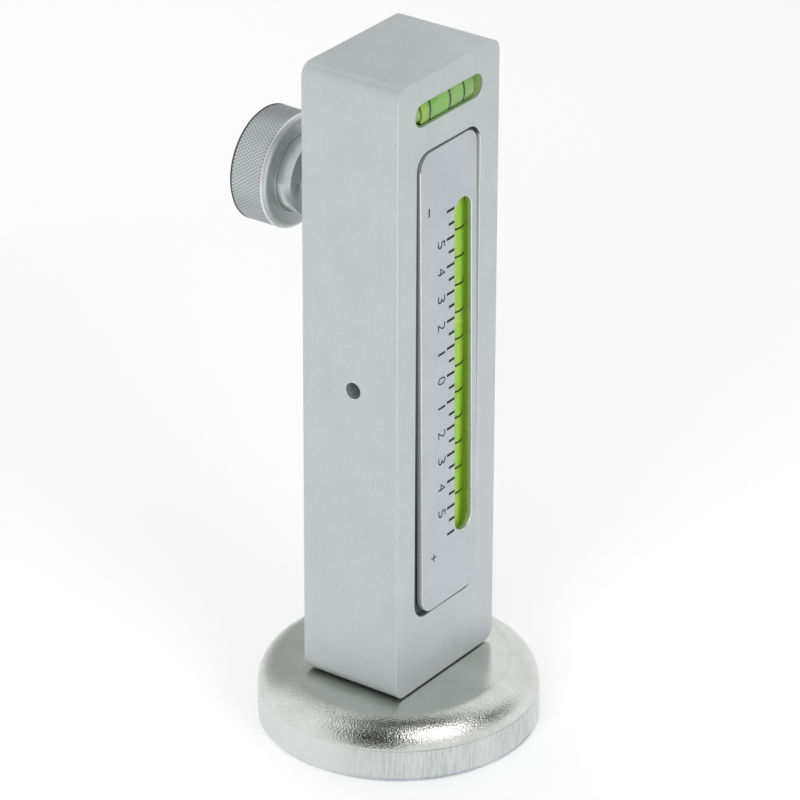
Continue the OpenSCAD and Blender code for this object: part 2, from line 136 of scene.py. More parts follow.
def tone(red, green, blue):          # a colour of 0 to 255 as seen on a screen, made linear
    linear = [c / 3294.6 if c < 10.3 else ((c / 255 + 0.055) / 1.055) ** 2.4 for c in (red, green, blue)]
    return (*linear, 1.0)


def put(tree, kind, sockets=None, **settings):   # adds a node; a socket's value may be a node's output
    made = tree.nodes.new(kind)
    for key, value in settings.items():
        setattr(made, key, value)
    for key, value in (sockets or {}).items():
        if isinstance(value, bpy.types.NodeSocket):
            tree.links.new(value, made.inputs[key])
        else:
            made.inputs[key].default_value = value
    return made


def math2(tree, operation, a, b=0.0, clamp=False):
    return put(tree, "ShaderNodeMath", {0: a, 1: b}, operation=operation, use_clamp=clamp).outputs[0]


def plus(tree, a, b, clamp=False):
    return math2(tree, "ADD", a, b, clamp)


def minus(tree, a, b, clamp=False):
    return math2(tree, "SUBTRACT", a, b, clamp)


def times(tree, a, b, clamp=False):
    return math2(tree, "MULTIPLY", a, b, clamp)


def blendColour(tree, factor, first, second):
    return put(tree, "ShaderNodeMix", {0: factor, 6: first, 7: second}, data_type="RGBA").outputs[2]


def spread(tree, value, low, high, toLow=0.0, toHigh=1.0):
    return put(tree, "ShaderNodeMapRange", {"Value": value, "From Min": low, "From Max": high,
                                            "To Min": toLow, "To Max": toHigh}).outputs[0]


def startGroup(name, inputs, outputs):           # inputs: first values; outputs: Float or Vector
    tree = bpy.data.node_groups.new(name, "ShaderNodeTree")
    for label, value in inputs.items():
        kind = "NodeSocketFloat" if isinstance(value, float) else "NodeSocketVector"
        tree.interface.new_socket(name=label, in_out="INPUT", socket_type=kind).default_value = value
    for label, kind in outputs.items():
        tree.interface.new_socket(name=label, in_out="OUTPUT", socket_type="NodeSocket" + kind)
    return tree, tree.nodes.new("NodeGroupInput"), tree.nodes.new("NodeGroupOutput")


def splitPlace(tree, place):
    return put(tree, "ShaderNodeSeparateXYZ", {0: place}).outputs


def objectPlace(tree):               # object coordinates in mm
    place = tree.nodes.new("ShaderNodeTexCoord")
    return put(tree, "ShaderNodeVectorMath", {0: place.outputs["Object"], "Scale": 1 / mm},
               operation="SCALE").outputs[0]


# fine grain of a blasted or cast skin: Size in mm, out a value about 0.5
grainGroup, start, end = startGroup("fineGrain", {"Size": 0.25, "Detail": 3.0}, {"Value": "Float"})
noise = put(grainGroup, "ShaderNodeTexNoise", {
    "Vector": objectPlace(grainGroup), "Detail": start.outputs["Detail"], "Roughness": 0.6,
    "Scale": math2(grainGroup, "DIVIDE", 1.0, start.outputs["Size"])})
grainGroup.links.new(noise.outputs[0], end.inputs["Value"])

# lines left by a cutter, a die or a drawing: Stretch is lines per mm along each axis
lineGroup, start, end = startGroup("toolLines", {"Vector": (0.0, 0.0, 0.0), "Stretch": (1.0, 1.0, 1.0)},
                                   {"Value": "Float"})
stretched = put(lineGroup, "ShaderNodeVectorMath", {0: start.outputs["Vector"], 1: start.outputs["Stretch"]},
                operation="MULTIPLY").outputs[0]
noise = put(lineGroup, "ShaderNodeTexNoise", {"Vector": stretched, "Scale": 1.0, "Detail": 2.5,
                                              "Roughness": 0.65})
lineGroup.links.new(noise.outputs[0], end.inputs["Value"])

# sparse nicks and specks: Share is how much of the skin they take
speckGroup, start, end = startGroup("sparseSpecks", {"Size": 0.8, "Share": 0.1}, {"Mask": "Float"})
noise = put(speckGroup, "ShaderNodeTexNoise", {
    "Vector": objectPlace(speckGroup), "Detail": 4.0, "Roughness": 0.7,
    "Scale": math2(speckGroup, "DIVIDE", 1.0, start.outputs["Size"])})
edge = minus(speckGroup, 0.78, start.outputs["Share"])
mask = put(speckGroup, "ShaderNodeMapRange", {"Value": noise.outputs[0], "From Min": edge,
           "From Max": plus(speckGroup, edge, 0.05)}, interpolation_type="SMOOTHSTEP").outputs[0]
speckGroup.links.new(mask, end.inputs["Mask"])

# polar place round Z: out the radius, the height and a vector that runs with the angle, all in mm
roundGroup, start, end = startGroup("roundPlace", {"Vector": (0.0, 0.0, 0.0)}, {
    "Radius": "Float", "Height": "Float", "Rings": "Vector", "Around": "Vector"})
x, y, height = splitPlace(roundGroup, start.outputs[0])
flat = put(roundGroup, "ShaderNodeCombineXYZ", {0: x, 1: y}).outputs[0]
radius = put(roundGroup, "ShaderNodeVectorMath", {0: flat}, operation="LENGTH").outputs["Value"]
unit = put(roundGroup, "ShaderNodeVectorMath", {0: flat}, operation="NORMALIZE").outputs[0]
turned = splitPlace(roundGroup, unit)
rings = put(roundGroup, "ShaderNodeCombineXYZ", {0: radius, 1: 0.0, 2: height}).outputs[0]
around = put(roundGroup, "ShaderNodeCombineXYZ", {0: turned[0], 1: turned[1], 2: height}).outputs[0]
for value, label in ((radius, "Radius"), (height, "Height"), (rings, "Rings"), (around, "Around")):
    roundGroup.links.new(value, end.inputs[label])

# a mask for painted shade and light by depth in a gap: out 0 at the front face and 1 at Depth mm behind it
paintedDepthGroup, start, end = startGroup("paintedDepthTone", {"FrontY": -9.9, "Depth": 1.1}, {"Mask": "Float"})
behind = math2(paintedDepthGroup, "DIVIDE", minus(paintedDepthGroup, splitPlace(paintedDepthGroup, objectPlace(paintedDepthGroup))[1],
               start.outputs["FrontY"]), start.outputs["Depth"])
paintedDepthGroup.links.new(times(paintedDepthGroup, behind, 1.0, True), end.inputs["Mask"])


def useGroup(tree, group, sockets):
    return put(tree, "ShaderNodeGroup", sockets, node_tree=group)


def grainOf(tree, size, detail=2.0):
    return useGroup(tree, grainGroup, {"Size": size, "Detail": detail}).outputs[0]


def linesOf(tree, place, stretch):
    return useGroup(tree, lineGroup, {"Vector": place, "Stretch": stretch}).outputs[0]


def startMaterial(name, **sockets):
    material = bpy.data.materials.new(name)
    material.use_nodes = True
    tree = material.node_tree
    shader = tree.nodes["Principled BSDF"]
    for key, value in sockets.items():
        shader.inputs[key.replace("_", " ")].default_value = value
    return material, tree, shader


def addBump(tree, shader, height, strength, depth):
    bump = put(tree, "ShaderNodeBump", {"Height": height, "Strength": strength, "Distance": depth * mm})
    tree.links.new(bump.outputs[0], shader.inputs["Normal"])


def setSocket(tree, shader, label, value):
    tree.links.new(value, shader.inputs[label])


# ---- materials ----

def blastedMetal(name, dark, light, metallic, roughness, grain=0.22, lines=None):
    material, tree, shader = startMaterial(name, Metallic=metallic)
    fine = grainOf(tree, grain)
    mixed = plus(tree, times(tree, fine, 0.6), times(tree, grainOf(tree, 9.0, 3.0), 0.4))
    colour = blendColour(tree, spread(tree, mixed, 0.35, 0.65), dark, light)
    specks = useGroup(tree, speckGroup, {"Size": 1.3, "Share": 0.075}).outputs[0]
    colour = blendColour(tree, times(tree, specks, 0.35), colour, tone(150, 155, 157))
    height = fine
    if lines:
        drawn = linesOf(tree, objectPlace(tree), lines)
        colour = blendColour(tree, spread(tree, drawn, 0.3, 0.7, 0.0, 0.25), colour, light)
        height = plus(tree, fine, times(tree, drawn, 0.8))
    setSocket(tree, shader, "Base Color", colour)
    setSocket(tree, shader, "Roughness", spread(tree, mixed, 0.3, 0.7, roughness - 0.05, roughness + 0.06))
    addBump(tree, shader, height, 0.35, 0.03)
    return material


def gapMetal(name, front, deep, depth, metallic, roughness):     # walls of a gap, with painted light and shade that dims with depth
    material, tree, shader = startMaterial(name, Metallic=metallic, Roughness=roughness)
    behind = useGroup(tree, paintedDepthGroup, {"Depth": depth}).outputs[0]
    fine = grainOf(tree, 0.3)
    uneven = plus(tree, behind, spread(tree, fine, 0.3, 0.7, -0.08, 0.08), True)
    setSocket(tree, shader, "Base Color", blendColour(tree, uneven, front, deep))
    addBump(tree, shader, fine, 0.3, 0.02)
    return material


def slotMetal(name, front, deep, depth, lines, metallic, glow):  # a milled wall with painted light from its vial: painted green by depth, and a painted glow
    material, tree, shader = startMaterial(name, Metallic=metallic, Emission_Strength=glow)
    behind = useGroup(tree, paintedDepthGroup, {"Depth": depth}).outputs[0]
    drawn = linesOf(tree, objectPlace(tree), lines)
    uneven = plus(tree, behind, spread(tree, drawn, 0.35, 0.65, -0.2, 0.2), True)
    colour = blendColour(tree, uneven, front, deep)
    setSocket(tree, shader, "Base Color", colour)
    setSocket(tree, shader, "Emission Color", colour)
    setSocket(tree, shader, "Roughness", spread(tree, drawn, 0.3, 0.7, 0.34, 0.5))
    addBump(tree, shader, drawn, 0.3, 0.03)
    return material


blockMetal = blastedMetal("blastedBlock", tone(190, 196, 198), tone(207, 212, 213), 0.72, 0.48,
                          lines=(0.9, 0.9, 0.035))
plateMetal = blastedMetal("satinPlate", tone(182, 190, 195), tone(200, 206, 210), 0.72, 0.42,
                          lines=(0.05, 1.0, 1.6))
rockerMetal = blastedMetal("milledRocker", tone(178, 184, 186), tone(196, 201, 203), 0.85, 0.38,
                           lines=(2.2, 2.2, 0.08))
# bright metal worn bare on rounded edges, near white so that it is a painted highlight too
wornEdgeAndHighlight = blastedMetal("wornEdgeAndHighlight", tone(240, 243, 244), tone(254, 255, 255), 0.9, 0.28, grain=0.9)
# painted shade: the pocket's walls and floor darken with depth
pocketPaintedShade = gapMetal("pocketPaintedShade", tone(150, 156, 156), tone(92, 99, 98), 0.9, 0.4, 0.55)
# painted light: the pocket's right wall is painted bright where the narrow gap shades it
pocketRightPaintedLight = gapMetal("pocketRightPaintedLight", tone(232, 236, 237), tone(170, 176, 177), 0.9, 0.1, 0.6)
# painted shade: a dark line along the seam at the plate's top edge
seamPaintedShade = gapMetal("seamPaintedShade", tone(58, 63, 66), tone(44, 48, 50), 0.9, 0.2, 0.6)
# painted light and shade on the plate's outer side faces: bright at the front, dark with depth
plateRimPaintedShade = gapMetal("plateRimPaintedShade", tone(228, 232, 232), tone(106, 114, 114), 1.1, 0.5, 0.5)
# painted light: the vials' slot walls and the camber vial's bed are painted green and glow, as if lit through
# the vials
camberSlotPaintedLight = slotMetal("camberSlotPaintedLight", tone(170, 182, 152), tone(104, 134, 26), 1.1, (3.0, 6.0, 0.03),
                       0.45, 0.1)
levelSlotPaintedLight = slotMetal("levelSlotPaintedLight", tone(122, 134, 118), tone(134, 166, 92), 0.9, (0.05, 2.0, 2.0),
                      0.3, 0.35)
vialBedPaintedLight = slotMetal("vialBedPaintedLight", tone(112, 142, 34), tone(98, 128, 22), 3.0, (0.5, 0.5, 0.03), 0.2, 0.55)


def turnedMetal(name, dark, light, metallic, roughness, turn=(0, 0, 0), centre=(0, 0, 0), ringsPerMm=5.0,
                depth=0.01):
    material, tree, shader = startMaterial(name, Metallic=metallic)
    centred = put(tree, "ShaderNodeMapping", {"Vector": objectPlace(tree), "Location": [-c for c in centre]})
    lined = put(tree, "ShaderNodeMapping", {"Vector": centred.outputs[0], "Rotation": turn})
    place = useGroup(tree, roundGroup, {"Vector": lined.outputs[0]})
    cuts = linesOf(tree, place.outputs["Rings"], (ringsPerMm, 0.0, ringsPerMm))
    mixed = plus(tree, times(tree, cuts, 0.7), times(tree, grainOf(tree, 0.15), 0.3))
    setSocket(tree, shader, "Base Color", blendColour(tree, spread(tree, mixed, 0.35, 0.65), dark, light))
    setSocket(tree, shader, "Roughness", spread(tree, mixed, 0.3, 0.7, roughness - 0.06, roughness + 0.08))
    addBump(tree, shader, mixed, 0.4, depth)
    return material


alongX = (0, math.radians(90), 0)
alongY = (math.radians(90), 0, 0)
pinSteel = turnedMetal("groundSteel", tone(150, 152, 155), tone(186, 188, 190), 1.0, 0.28, alongY,
                       screwLine, 3.0, 0.006)
pivotSteel = turnedMetal("pivotSteel", tone(128, 130, 132), tone(160, 162, 165), 1.0, 0.32, alongX,
                         (0, -0.7, 69.7), 6.0, 0.008)
brassMetal = turnedMetal("turnedBrass", tone(176, 136, 66), tone(214, 178, 104), 1.0, 0.3, alongY,
                         screwLine, 5.0, 0.008)
poleMetal = turnedMetal("turnedPole", tone(150, 152, 154), tone(186, 188, 189), 1.0, 0.3,
                        ringsPerMm=3.5, depth=0.015)
blackSteel = turnedMetal("blackOxide", tone(34, 35, 38), tone(60, 61, 64), 0.8, 0.4,
                         ringsPerMm=6.0, depth=0.006)
springWire = turnedMetal("springWire", tone(140, 142, 146), tone(182, 184, 188), 1.0, 0.25, alongY,
                         screwLine, 2.0, 0.004)


knobSkin = dict(rim=(9.92, 9.98), shoulderY=(21.7, 21.3), shoulder=(9.3, 9.7), valley=(10.08, 10.22))


def knurledMetal():      # turned faces, a smooth shoulder with a painted highlight, painted shade in the knurl's valleys
    material, tree, shader = startMaterial("knurledMetal", Metallic=0.8)
    place = objectPlace(tree)
    centred = put(tree, "ShaderNodeMapping", {"Vector": place, "Location": [-c for c in screwLine]})
    lined = put(tree, "ShaderNodeMapping", {"Vector": centred.outputs[0], "Rotation": alongY})
    about = useGroup(tree, roundGroup, {"Vector": lined.outputs[0]})
    radius, along = about.outputs["Radius"], splitPlace(tree, place)[1]
    cuts = linesOf(tree, about.outputs["Rings"], (3.0, 0.0, 3.0))
    onRim = spread(tree, radius, *knobSkin["rim"])
    onShoulder = times(tree, spread(tree, along, *knobSkin["shoulderY"]),
                       spread(tree, radius, *knobSkin["shoulder"]), True)
    colour = blendColour(tree, spread(tree, cuts, 0.35, 0.65), tone(196, 203, 202), tone(212, 218, 217))
    # painted shade: dark valleys and light peaks in the knurl
    knurled = blendColour(tree, spread(tree, radius, *knobSkin["valley"]), tone(150, 156, 158),
                          tone(220, 224, 226))
    colour = blendColour(tree, onRim, colour, knurled)
    # painted highlight on the shoulder
    colour = blendColour(tree, times(tree, onShoulder, 0.6), colour, tone(246, 248, 248))
    setSocket(tree, shader, "Base Color", colour)
    setSocket(tree, shader, "Roughness", plus(tree, spread(tree, cuts, 0.3, 0.7, 0.32, 0.42),
                                              times(tree, onShoulder, 0.14)))
    flat = minus(tree, 1.0, math2(tree, "MAXIMUM", onRim, onShoulder), True)
    height = plus(tree, times(tree, times(tree, cuts, flat), 0.7), times(tree, grainOf(tree, 0.15), 0.3))
    addBump(tree, shader, height, 0.3, 0.01)
    return material


cupSkin = dict(side=(6.5, 5.9), top=(20.8, 19.4), creaseZ=6.1, creaseWide=0.16, foot=(1.0, 0.6),
               paintedReflectionSide=(-0.36, -0.93, 0.0))


def cupMetal():          # satin plate on a drawn cup: streaks on the side, pebbled skin on the bend; the streaks' contrast and dark lines at the bend and the foot are painted reflections on one side
    material, tree, shader = startMaterial("platedCup", Metallic=1.0)
    place = useGroup(tree, roundGroup, {"Vector": objectPlace(tree)})
    radius, height, around = [place.outputs[label] for label in ("Radius", "Height", "Around")]
    streaks = linesOf(tree, around, (110.0, 110.0, 0.25))
    patches = linesOf(tree, around, (2.2, 2.2, 0.05))
    sweep = linesOf(tree, place.outputs["Rings"], (1.2, 0.0, 0.4))
    pebble, cloudy = grainOf(tree, 0.34), grainOf(tree, 7.0, 4.0)
    # painted reflection: this mask picks the side that faces one fixed direction
    facing = put(tree, "ShaderNodeVectorMath", {0: around, 1: cupSkin["paintedReflectionSide"]},
                 operation="DOT_PRODUCT").outputs["Value"]
    paintedReflectionMask = times(tree, spread(tree, facing, 0.45, 0.9, 0.06, 1.0),
                   spread(tree, patches, 0.35, 0.6, 0.4, 1.0))
    onSide = spread(tree, height, *cupSkin["side"])
    onTop = spread(tree, radius, *cupSkin["top"])
    onBend = minus(tree, minus(tree, 1.0, onSide), onTop, True)
    streaksAndReflection = times(tree, spread(tree, streaks, 0.35, 0.65), paintedReflectionMask)
    # painted dark reflection line where the side meets the bend
    offCrease = math2(tree, "ABSOLUTE", minus(tree, height, cupSkin["creaseZ"]))
    crease = minus(tree, 1.0, math2(tree, "DIVIDE", offCrease, cupSkin["creaseWide"]), True)
    # painted bluish dark reflection line at the foot
    rim = times(tree, spread(tree, height, *cupSkin["foot"]), paintedReflectionMask)
    colour = blendColour(tree, spread(tree, cloudy, 0.35, 0.65), tone(204, 207, 201), tone(218, 220, 215))
    colour = blendColour(tree, onSide, colour, blendColour(tree, streaksAndReflection, tone(219, 222, 220),
                                                           tone(176, 182, 183)))
    colour = blendColour(tree, times(tree, onBend, spread(tree, pebble, 0.4, 0.6, 0.0, 0.12)), colour,
                         tone(150, 156, 157))
    colour = blendColour(tree, times(tree, times(tree, crease, 0.8), paintedReflectionMask), colour, tone(120, 128, 130))
    colour = blendColour(tree, times(tree, rim, 0.6), colour, tone(140, 150, 162))
    rough = plus(tree, spread(tree, cloudy, 0.3, 0.7, 0.18, 0.25), times(tree, onSide, 0.14))
    rough = minus(tree, rough, times(tree, onBend, 0.07))
    topHeight = times(tree, times(tree, sweep, onTop), 0.08)
    bendHeight = times(tree, pebble, plus(tree, onBend, 0.03))
    sideHeight = times(tree, times(tree, streaksAndReflection, onSide), 0.12)
    setSocket(tree, shader, "Base Color", colour)
    setSocket(tree, shader, "Roughness", rough)
    addBump(tree, shader, plus(tree, plus(tree, topHeight, bendHeight), sideHeight), 0.8, 0.12)
    return material


def roughSolid(name, dark, light, roughness, grain, depth, metallic=0.0):
    material, tree, shader = startMaterial(name, Metallic=metallic)
    fine = grainOf(tree, grain, 4.0)
    setSocket(tree, shader, "Base Color", blendColour(tree, spread(tree, fine, 0.32, 0.68), dark, light))
    setSocket(tree, shader, "Roughness", spread(tree, fine, 0.3, 0.7, roughness - 0.08, roughness + 0.08))
    addBump(tree, shader, fine, 0.5, depth)
    return material


def enamelInk():
    material, tree, shader = startMaterial("inkEnamel", Roughness=0.5, Specular_IOR_Level=0.25)
    fine = grainOf(tree, 0.12)
    setSocket(tree, shader, "Base Color", blendColour(tree, spread(tree, fine, 0.35, 0.65),
                                                      tone(14, 17, 21), tone(28, 33, 39)))
    addBump(tree, shader, fine, 0.3, 0.01)
    return material


knobMetal = knurledMetal()
platedCup = cupMetal()
inkEnamel = enamelInk()
fibreWasher = roughSolid("fibreWasher", tone(40, 41, 43), tone(58, 59, 61), 0.8, 0.3, 0.03)
groundFerrite = roughSolid("groundFerrite", tone(62, 64, 67), tone(84, 86, 89), 0.55, 0.18, 0.02, 0.3)
castPotting = roughSolid("castPotting", tone(24, 25, 27), tone(40, 41, 44), 0.35, 1.2, 0.05)
greenInk = roughSolid("greenInk", tone(36, 66, 28), tone(56, 92, 42), 0.4, 0.2, 0.01)


def clearPlastic(name, tint):        # light reaches the green core through it
    material, tree, shader = startMaterial(name, Base_Color=tint, Roughness=0.03, IOR=1.49,
                                           Transmission_Weight=1.0)
    addBump(tree, shader, grainOf(tree, 1.4), 0.15, 0.01)
    through = put(tree, "ShaderNodeBsdfTransparent", {"Color": tint})
    path = tree.nodes.new("ShaderNodeLightPath")
    both = put(tree, "ShaderNodeMixShader", {0: path.outputs["Is Shadow Ray"], 1: shader.outputs[0],
                                             2: through.outputs[0]})
    tree.links.new(both.outputs[0], tree.nodes["Material Output"].inputs["Surface"])
    return material


def dyedSpirit(name, deep, bright, glow):    # a painted glow: the spirit emits its own colour a little
    material, tree, shader = startMaterial(name, Roughness=0.25, Specular_IOR_Level=0.3,
                                           Emission_Strength=glow)
    colour = blendColour(tree, spread(tree, grainOf(tree, 6.0, 1.0), 0.3, 0.7), deep, bright)
    setSocket(tree, shader, "Base Color", colour)
    setSocket(tree, shader, "Emission Color", colour)
    return material


def gasBubble(name, body, lit, low, high):   # painted light at its low end, fading to its body colour by high, and a painted glow; its heights in mm
    material, tree, shader = startMaterial(name, Roughness=0.06, Specular_IOR_Level=0.9, Coat_Weight=1.0,
                                           Emission_Strength=0.15)
    lowEnd = spread(tree, splitPlace(tree, objectPlace(tree))[2], low, high, 1.0, 0.0)
    colour = blendColour(tree, lowEnd, body, lit)
    setSocket(tree, shader, "Base Color", colour)
    setSocket(tree, shader, "Emission Color", colour)
    return material


def plugPlastic(name, dark, light):
    material, tree, shader = startMaterial(name, Roughness=0.3)
    fine = grainOf(tree, 0.8, 3.0)
    setSocket(tree, shader, "Base Color", blendColour(tree, spread(tree, fine, 0.3, 0.7), dark, light))
    addBump(tree, shader, fine, 0.2, 0.02)
    return material


capSkin = dict(ends=(-6.0, 6.4), tubeEnd=(7.3, 7.5), joint=(7.9, 8.2))


def levelCapPlastic():               # green beside the liquid, a dark joint at the tube's end, pale beyond
    material, tree, shader = startMaterial("levelCap", Roughness=0.35)
    across = splitPlace(tree, objectPlace(tree))[0]
    reach = math2(tree, "ABSOLUTE", across)
    fine = grainOf(tree, 0.8, 3.0)
    pale = blendColour(tree, spread(tree, fine, 0.3, 0.7), tone(150, 176, 108), tone(172, 194, 130))
    ends = blendColour(tree, spread(tree, across, *capSkin["ends"]), tone(168, 192, 108), tone(130, 170, 92))
    joint = blendColour(tree, spread(tree, reach, *capSkin["joint"]), tone(92, 116, 44), pale)
    beyond = spread(tree, reach, *capSkin["tubeEnd"])
    setSocket(tree, shader, "Base Color", blendColour(tree, beyond, ends, joint))
    addBump(tree, shader, fine, 0.2, 0.02)
    return material


clearTube = clearPlastic("clearTube", (0.86, 0.95, 0.52, 1))
levelTubeClear = clearPlastic("levelTubeClear", (0.82, 0.94, 0.7, 1))
greenSpirit = dyedSpirit("greenSpirit", tone(158, 202, 66), tone(178, 214, 96), 0.2)
paleSpirit = dyedSpirit("paleSpirit", tone(128, 168, 92), tone(142, 178, 108), 0.1)
camberGas = gasBubble("camberGas", tone(186, 212, 118), tone(222, 250, 70), 76.6, 77.4)
casterGas = gasBubble("casterGas", tone(186, 212, 118), tone(222, 250, 70), 58.4, 59.0)
levelGas = gasBubble("levelGas", tone(142, 178, 104), tone(142, 178, 104), 0.0, 1.0)
greenPlug = plugPlastic("greenPlug", tone(104, 138, 34), tone(126, 158, 52))
paleCap = levelCapPlastic()
print("materials made")


# ---- block ----

blockShape = dict(soft=0.25, frontY=-9.9, backY=9.9, sideX=14.6, midZ=69.45, pocket=(9.21, 44.01), wallX=9,
                  pocketY=(-9.85, -1.6), level=(9.75, 2.2), levelZ=120.55, levelY=-5.6, pinY=-0.7,
                  bedX=(1, 9.1), bedY=-8.75, bedTall=42, seam=(0.12, 0.2), seamX=9.3, seamZ=(40, 44.1),
                  uprightX=14.2, straight=54.5, mouth=(9.6, 44.5), footZ=-43.5)
blockSkins = [blockMetal, pocketPaintedShade, wornEdgeAndHighlight, levelSlotPaintedLight, pocketRightPaintedLight, vialBedPaintedLight]


def blockSkin(face):     # 0 outside, 1 pocket with painted shade, 3 level's slot with painted green light, 4 pocket's right wall with painted light, 5 camber vial's bed with painted green light
    x, y, z = face.calc_center_median()
    fromY, toY = blockShape["pocketY"]
    reach = abs(z - blockShape["midZ"])
    if fromY < y < blockShape["levelY"] and abs(z - blockShape["levelZ"]) < blockShape["level"][1]:
        return 3 if abs(x) < blockShape["level"][0] else 0
    if not (fromY < y < toY and abs(x) < blockShape["pocket"][0] and reach < blockShape["pocket"][1]):
        return 0
    bedFrom, bedTo = blockShape["bedX"]
    if y > blockShape["bedY"] and bedFrom < x < bedTo and reach < blockShape["bedTall"]:
        return 5
    return 4 if x > blockShape["wallX"] and abs(face.normal.x) > 0.9 else 1


def blockCorner(mid, edge):          # the rims of both faces and of the side hole
    onFace = liesAt(edge, 1, blockShape["frontY"]) or liesAt(edge, 1, blockShape["backY"])
    return onFace or (liesAt(edge, 0, -blockShape["sideX"]) and abs(mid.y - blockShape["pinY"]) < 1.7)


def wornCorner(mid):     # upright corners and the pocket's mouth show bright wear with a painted highlight, the mouth's foot takes painted shade
    reach = mid.z - blockShape["midZ"]
    upright = abs(mid.x) > blockShape["uprightX"] and abs(reach) < blockShape["straight"]
    mouth = abs(mid.x) < blockShape["mouth"][0] and abs(reach) < blockShape["mouth"][1]
    # painted shade on the rounded edge at the mouth's foot
    if mouth and reach < blockShape["footZ"]:
        return 1
    return 2 if upright or mouth else 0


bm = nodeCopy("body")
for face in bm.faces:
    face.material_index = blockSkin(face)
for v in bm.verts:                   # a seam shows above and below the plate
    reach = v.co.z - blockShape["midZ"]
    inPocket = abs(v.co.x) < blockShape["seamX"] and v.co.y < blockShape["pocketY"][1]
    if inPocket and blockShape["seamZ"][0] < abs(reach) < blockShape["seamZ"][1]:
        v.co.z += blockShape["seam"][0] if reach > 0 else -blockShape["seam"][1]
softenEdges(bm, blockCorner, blockShape["soft"], wornCorner)
makePiece("gaugeBlock", bm, "block", blockSkins, ["body"], smoothTo=0, outward=False)
print("block made")


# ---- camber plate, its marks and numbers ----

plateShape = dict(soft=0.1, shift=0.45, skew=-0.6, lift=math.atan(0.3 / 88), topZ=43.9, midZ=69.45,
                  frontY=-9.9, seatY=-8.8, halfWide=8.2, rimWide=0.3, endZ=38, seamZ=40.3, markDepth=0.12,
                  markEnd=2.0, long=2.2, short=1.65, barWide=0.5, barThick=0.1, numberTop=-0.73,
                  numberFoot=-2.8, numberWide=1.4, oneWide=0.38, signThick=0.02, signOffset=-0.012,
                  degrees=6, pitch=5.15, proud=0.012, below=0.25)
seatY, topZ = plateShape["seatY"], plateShape["topZ"]
plateFrame = (Matrix.Translation((plateShape["shift"], seatY, plateShape["midZ"] + topZ))
              @ Matrix.Rotation(-plateShape["lift"], 4, "X") @ Matrix.Translation((0, -seatY, -topZ))
              @ Matrix.Rotation(math.radians(plateShape["skew"]), 4, "Y"))   # plate's own place to block's


def markPlateFaces(bm, faceY, halfWide):         # 1 ink in the marks, 2 the outer rim, 3 the slot's walls
    for face in bm.faces:
        mid = face.calc_center_median()
        deepest = max(v.co.y for v in face.verts) - faceY
        if mid.y - faceY > 0.005 and deepest < plateShape["markDepth"] + 0.02:
            face.material_index = 1
        elif abs(face.normal.y) < 0.5 and mid.y - faceY > 0.2:
            outer = abs(mid.x) > halfWide - plateShape["rimWide"] or abs(mid.z) > plateShape["endZ"]
            face.material_index = 2 if outer else 3


def plateEdges(faceY):               # the edges of the front face, but not those of the marks
    return lambda mid, edge: liesAt(edge, 1, faceY) and all(f.material_index != 1 for f in edge.link_faces)


bm = placed(nodeCopy("scale_plate"), plateFrame.inverted())
markPlateFaces(bm, plateShape["frontY"], plateShape["halfWide"])
# the plate's rounded top edge takes painted shade along its seam, the other rounded edges bright wear with a
# painted highlight
softenEdges(bm, plateEdges(plateShape["frontY"]), plateShape["soft"],
            lambda mid: 5 if mid.z > plateShape["seamZ"] else 4)
makePiece("camberPlate", placed(bm, plateFrame), "block",
          [plateMetal, inkEnamel, plateRimPaintedShade, camberSlotPaintedLight, wornEdgeAndHighlight, seamPaintedShade], ["scale_plate"], smoothTo=0,
          outward=False)

readDown = Matrix(((0, 1, 0, 0), (0, 0, -1, 0), (-1, 0, 0, 0), (0, 0, 0, 1)))      # tops of signs to +X


def textMesh(text, wide, tall):      # one sign as a mesh about its own centre, in mm
    curve = bpy.data.curves.new("sign", "FONT")
    curve.body = text
    curve.extrude = plateShape["signThick"]
    curve.offset = plateShape["signOffset"]
    curve.resolution_u = 6
    holder = bpy.data.objects.new("sign", curve)
    bpy.context.scene.collection.objects.link(holder)
    bpy.context.view_layer.update()
    mesh = bpy.data.meshes.new_from_object(holder.evaluated_get(bpy.context.evaluated_depsgraph_get()))
    bpy.data.objects.remove(holder)
    xs, ys = [v.co.x for v in mesh.vertices], [v.co.y for v in mesh.vertices]
    sizeX, sizeY = max(xs) - min(xs), max(ys) - min(ys)
    mesh.transform(Matrix.Translation((-(max(xs) + min(xs)) / 2, -(max(ys) + min(ys)) / 2, 0)))
    mesh.transform(Matrix.Diagonal((wide / sizeX, tall / sizeY, 1, 1)))
    return mesh


def addSigns(bm, signs, place):      # signs: text, middle along the scale, width, height, middle across
    for text, along, wide, tall, across in signs:
        mesh = textMesh(text, wide, tall)
        mesh.transform(place @ Matrix.Translation((across, 0, along)) @ readDown)
        bm.from_mesh(mesh)
        bpy.data.meshes.remove(mesh)


def addBars(bm, degrees, place):     # the enamel that fills each mark, every half degree
    thick = plateShape["barThick"]
    for i in range(-2 * degrees, 2 * degrees + 1):
        long = plateShape["short"] if i % 2 else plateShape["long"]
        middle = (plateShape["markEnd"] - long / 2, thick / 2, i * plateShape["pitch"] / 2)
        bmesh.ops.create_cube(bm, size=1, matrix=place @ Matrix.Translation(middle)
                              @ Matrix.Diagonal((long + 0.04, thick, plateShape["barWide"], 1)))


def numberSigns(below, across):
    tall = plateShape["numberTop"] - plateShape["numberFoot"]
    return [(str(abs(i)), i * plateShape["pitch"] - below,
             plateShape["oneWide"] if abs(i) == 1 else plateShape["numberWide"], tall, across)
            for i in range(-5, 6)]


